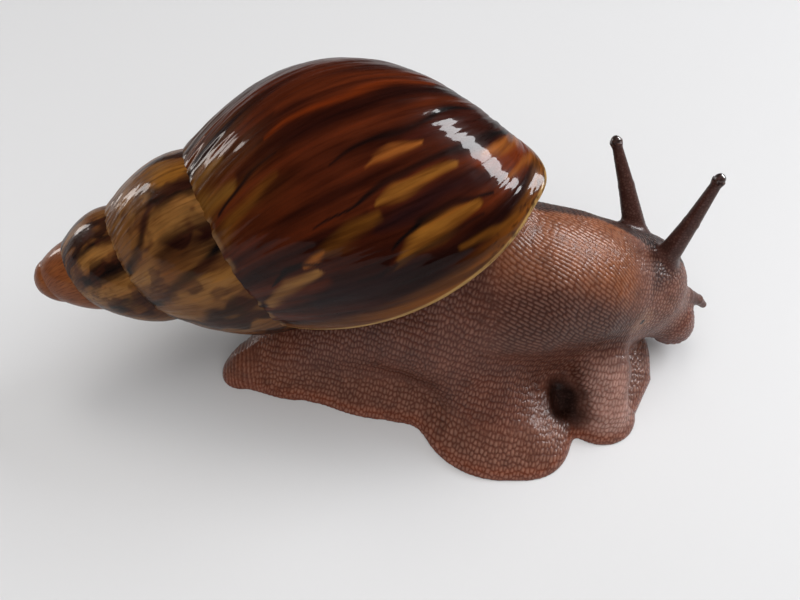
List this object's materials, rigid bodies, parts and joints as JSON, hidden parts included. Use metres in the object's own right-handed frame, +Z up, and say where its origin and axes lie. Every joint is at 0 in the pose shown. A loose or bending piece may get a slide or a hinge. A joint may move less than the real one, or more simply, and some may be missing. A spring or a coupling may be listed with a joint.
{
  "type": "giant african land snail model",
  "caption": "Still life-size model of a crawling giant African land snail with a striped spiral shell and warty brown body.",
  "frame": {"origin": "middle of the sole of the foot, on the surface it rests on", "axes": "+X the way the snail crawls, +Z up, +Y towards its left side"},
  "size_m": [0.1335, 0.0594, 0.064],
  "materials": {
    "shell": "glossy dark brown with amber flames",
    "skin": "moist warty brown skin",
    "mantle": "smooth moist tan collar",
    "tentacle": "moist dark brown skin, finely grained",
    "eye": "glossy near-black bulb"
  },
  "bodies": {
    "root": {"shell": "shell", "mantle": "mantle", "tail": "skin", "trunk": "skin", "foot": "skin", "foot_lobe_right": "skin", "foot_pleat_right": "skin", "neck": "skin", "head": "skin", "mouth": "skin", "upper_tentacle_right": "tentacle", "upper_tentacle_left": "tentacle", "lower_tentacle_right": "tentacle", "lower_tentacle_left": "tentacle", "eye_right": "eye", "eye_left": "eye"}
  },
  "joints": []
}
